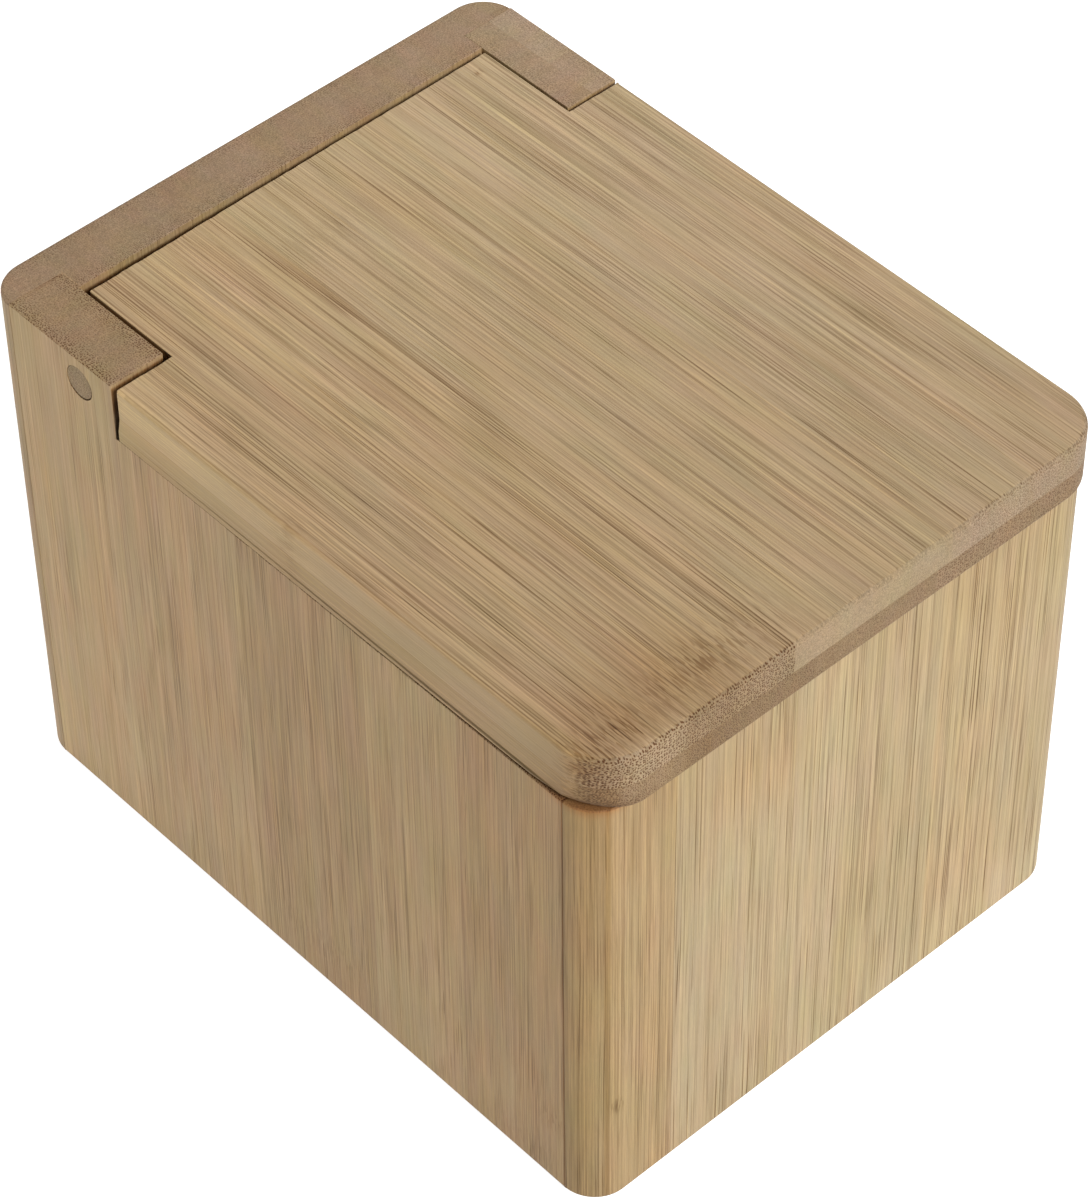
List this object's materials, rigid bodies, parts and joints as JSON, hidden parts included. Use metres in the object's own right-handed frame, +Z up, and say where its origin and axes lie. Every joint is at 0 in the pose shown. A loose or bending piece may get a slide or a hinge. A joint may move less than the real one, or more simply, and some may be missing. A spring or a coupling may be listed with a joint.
{
  "type": "salt box",
  "caption": "Bamboo kitchen salt box: a small glued box whose notched wooden lid swings up on two hinge dowels between raised cheeks at the back.",
  "frame": {"origin": "on the table surface, under the middle of the closed box and its lid overhang", "axes": "+Z up, -Y the front with the lid's finger lip, +Y the hinge side, +X to the right seen from the front"},
  "size_m": [0.1012, 0.135, 0.1],
  "materials": {
    "wall_bamboo": "fine-sanded laminated bamboo, upright grain, matt",
    "floor_bamboo": "fine-sanded laminated bamboo, matt",
    "lid_bamboo": "fine-sanded two-ply laminated bamboo, grain front to back, matt",
    "dowel": "end-grain bamboo dowel, sanded flush"
  },
  "bodies": {
    "box": {"front_wall": "wall_bamboo", "back_wall": "wall_bamboo", "left_wall": "wall_bamboo", "right_wall": "wall_bamboo", "bottom_panel": "floor_bamboo", "left_hinge_pin": "dowel", "right_hinge_pin": "dowel"},
    "lid": {"lid": "lid_bamboo"}
  },
  "joints": [
    {"name": "lid_hinge", "type": "hinge", "parent": "box", "child": "lid", "pos_m": [0, 0.0452, 0.0951], "axis": [-1, 0, 0], "range_deg": [0, 120]}
  ]
}
